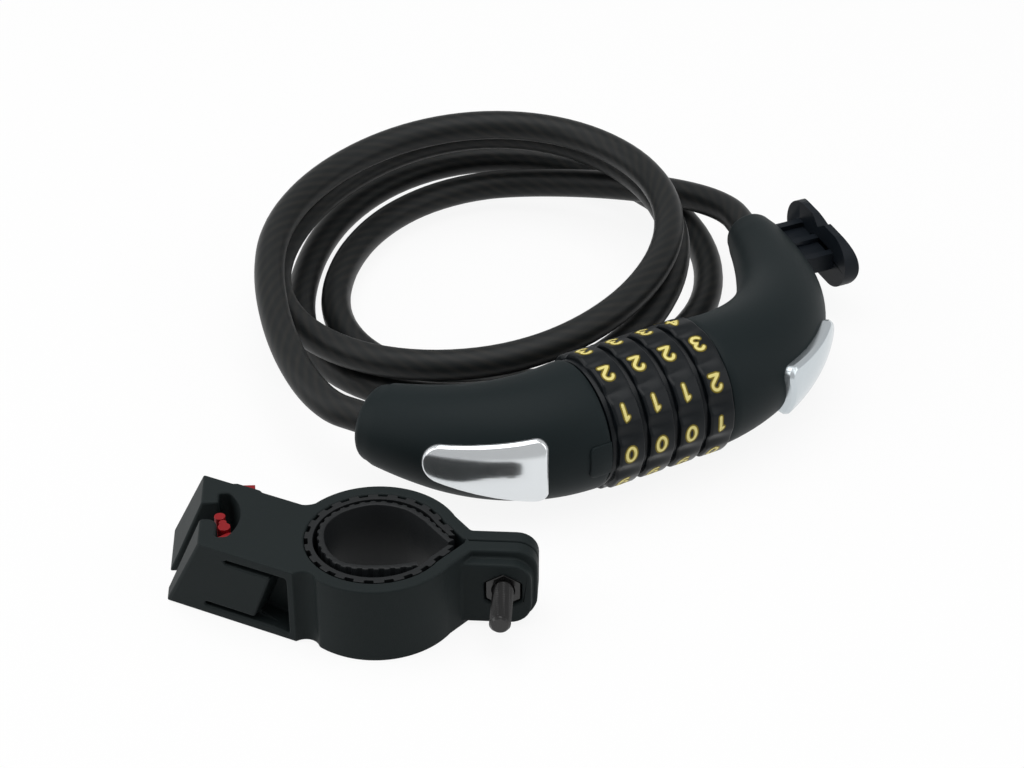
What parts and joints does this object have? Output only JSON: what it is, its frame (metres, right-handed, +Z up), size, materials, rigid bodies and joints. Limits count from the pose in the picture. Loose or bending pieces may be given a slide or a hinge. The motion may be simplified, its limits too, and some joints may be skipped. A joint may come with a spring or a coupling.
{
  "type": "combination cable lock with frame bracket",
  "caption": "Coiled cable lock: four-dial barrel between two curved housings, a pull-out notched pin, and a clamp-on bracket with a quick-release latch.",
  "frame": {"origin": "on the ground, on the axis of the bracket's clamp bore", "axes": "+Z up along the clamp's bore; +X to the right, along the longer side of the lock and bracket as they lie"},
  "size_m": [0.1783, 0.2174, 0.0347],
  "materials": {
    "soft_black": "soft-touch, near black",
    "dial_plastic": "satin black with yellow digits",
    "satin_chrome": "satin",
    "steel": "turned",
    "spring_steel": "bright",
    "ring_brass": "turned",
    "stud_plastic": "dark bluish, moulded",
    "cable_sheath": "smoky vinyl over steel strand",
    "bracket_plastic": "moulded, dark grey",
    "liner_rubber": "ribbed",
    "black_steel": "black oxide",
    "latch_red": "deep red"
  },
  "bodies": {
    "plug": {"plug_housing": "soft_black", "plug_plate": "satin_chrome", "shackle_pin": "steel", "shackle_cross_pin": "steel", "plug_ferrule": "steel", "plug_ferrule_pin": "steel", "cable_coil": "cable_sheath"},
    "lock_head": {"elbow_housing": "soft_black", "elbow_plate": "satin_chrome", "lock_core": "steel", "core_pin": "steel", "detent_spring": "spring_steel", "dial_washer": "steel", "mount_stud": "stud_plastic", "elbow_ferrule": "steel", "elbow_ferrule_pin": "steel", "cable_lead": "cable_sheath"},
    "dial_one": {"dial_1": "dial_plastic", "clutch_ring_1": "ring_brass"},
    "dial_two": {"dial_2": "dial_plastic", "clutch_ring_2": "ring_brass"},
    "dial_three": {"dial_3": "dial_plastic", "clutch_ring_3": "ring_brass"},
    "dial_four": {"dial_4": "dial_plastic", "clutch_ring_4": "ring_brass"},
    "bracket": {"bracket_body": "bracket_plastic", "clamp_liner": "liner_rubber", "liner_insert": "liner_rubber", "clamp_bolt": "black_steel", "clamp_nut": "black_steel", "latch_spring": "spring_steel"},
    "latch": {"release_latch": "latch_red"}
  },
  "joints": [
    {"name": "head_slide", "type": "slide", "parent": "plug", "child": "lock_head", "axis": [0.891, 0.454, 0], "range_m": [0, 0.033], "deforming": ["cable_lead"]},
    {"name": "dial_one_turn", "type": "hinge", "parent": "lock_head", "child": "dial_one", "pos_m": [0.053, 0.048, 0.0174], "axis": [0.891, 0.454, 0], "continuous": true},
    {"name": "dial_two_turn", "type": "hinge", "parent": "lock_head", "child": "dial_two", "pos_m": [0.06066, 0.0519, 0.0174], "axis": [0.891, 0.454, 0], "continuous": true},
    {"name": "dial_three_turn", "type": "hinge", "parent": "lock_head", "child": "dial_three", "pos_m": [0.06833, 0.05581, 0.0174], "axis": [0.891, 0.454, 0], "continuous": true},
    {"name": "dial_four_turn", "type": "hinge", "parent": "lock_head", "child": "dial_four", "pos_m": [0.07599, 0.05971, 0.0174], "axis": [0.891, 0.454, 0], "continuous": true},
    {"name": "bracket_lift", "type": "slide", "parent": "plug", "child": "bracket", "axis": [0, 0, 1], "range_m": [0, 0.1]},
    {"name": "latch_press", "type": "slide", "parent": "bracket", "child": "latch", "axis": [0, -1, 0], "range_m": [0, 0.0026], "stiffness_N_per_m": 300, "springref_m": -0.002, "deforming": ["latch_spring"]}
  ]
}
